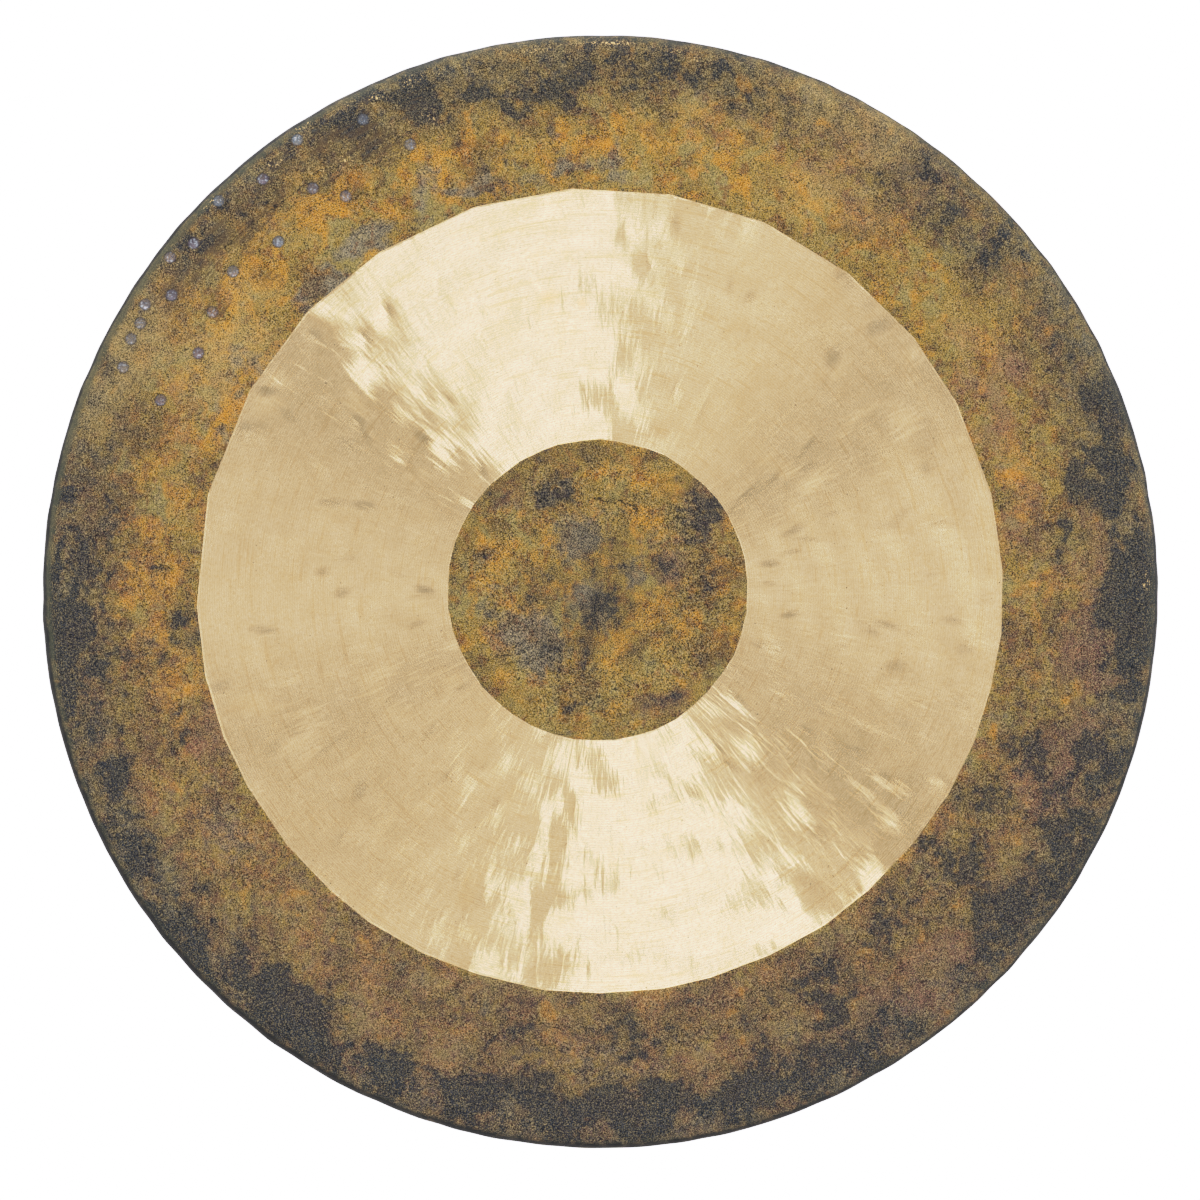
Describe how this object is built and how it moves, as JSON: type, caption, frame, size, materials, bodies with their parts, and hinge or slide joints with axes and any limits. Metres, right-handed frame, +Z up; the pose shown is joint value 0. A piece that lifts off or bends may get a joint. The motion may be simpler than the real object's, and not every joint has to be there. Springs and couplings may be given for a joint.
{
  "type": "chau gong",
  "caption": "Round bronze gong with a slightly domed face, a turned-back rim, an open back and cord holes drilled through the top of the rim; it hangs upright and is struck on the face.",
  "frame": {"origin": "midway between the two cord holes in the top of the rim, where the gong hangs", "axes": "+Z up, -Y out of the struck face, +Y out of the open back, +X to the right of someone who looks at the face"},
  "size_m": [0.7118, 0.05, 0.7104],
  "materials": {
    "bronze": "hammered, dark oxide in the centre and at the edge, lathe-scraped bright ring between"
  },
  "bodies": {
    "root": {"gong_disc": "bronze"}
  },
  "joints": []
}
